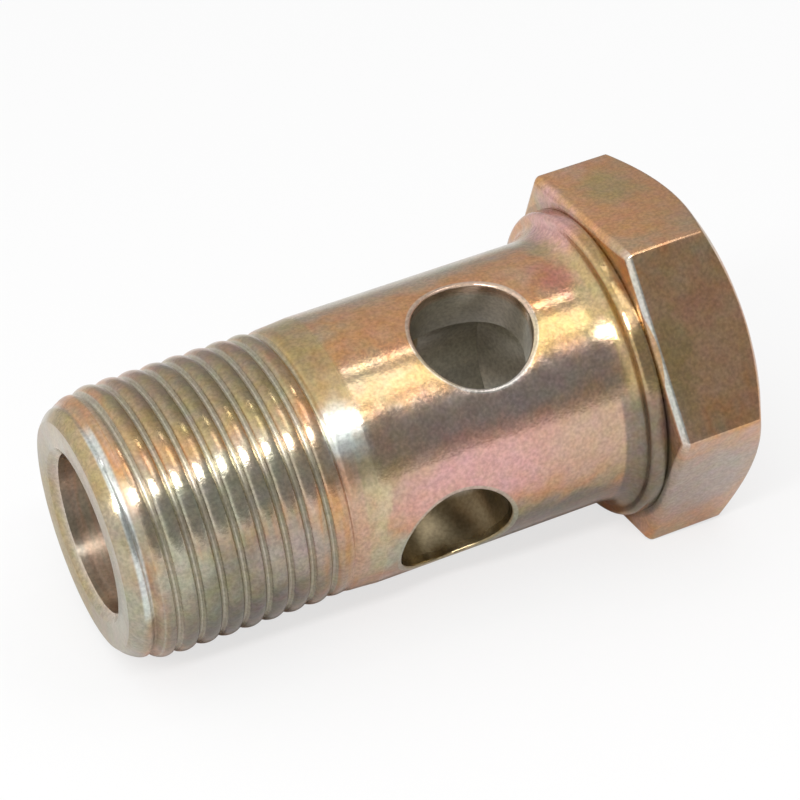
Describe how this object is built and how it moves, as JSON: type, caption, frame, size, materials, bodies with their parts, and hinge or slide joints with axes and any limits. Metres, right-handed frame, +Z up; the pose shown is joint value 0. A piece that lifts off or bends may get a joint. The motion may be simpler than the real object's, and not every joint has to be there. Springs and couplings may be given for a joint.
{
  "type": "banjo bolt",
  "caption": "Hollow hexagon-head bolt with a blind axial bore and staggered cross holes that feed a banjo fitting, collared under the head and threaded at the tip.",
  "frame": {"origin": "centre of the bearing face under the head, on the bolt's axis", "axes": "the bolt lies as it comes to rest: +X runs along it towards the head, with the tip a little lower, +Z is up, and one hexagon flat faces up"},
  "size_m": [0.0441, 0.0254, 0.0223],
  "materials": {
    "plated_steel": "yellow chromate over zinc: semi-gloss, drifting between tan, orange, pink and olive"
  },
  "bodies": {
    "root": {"banjo_bolt": "plated_steel"}
  },
  "joints": []
}
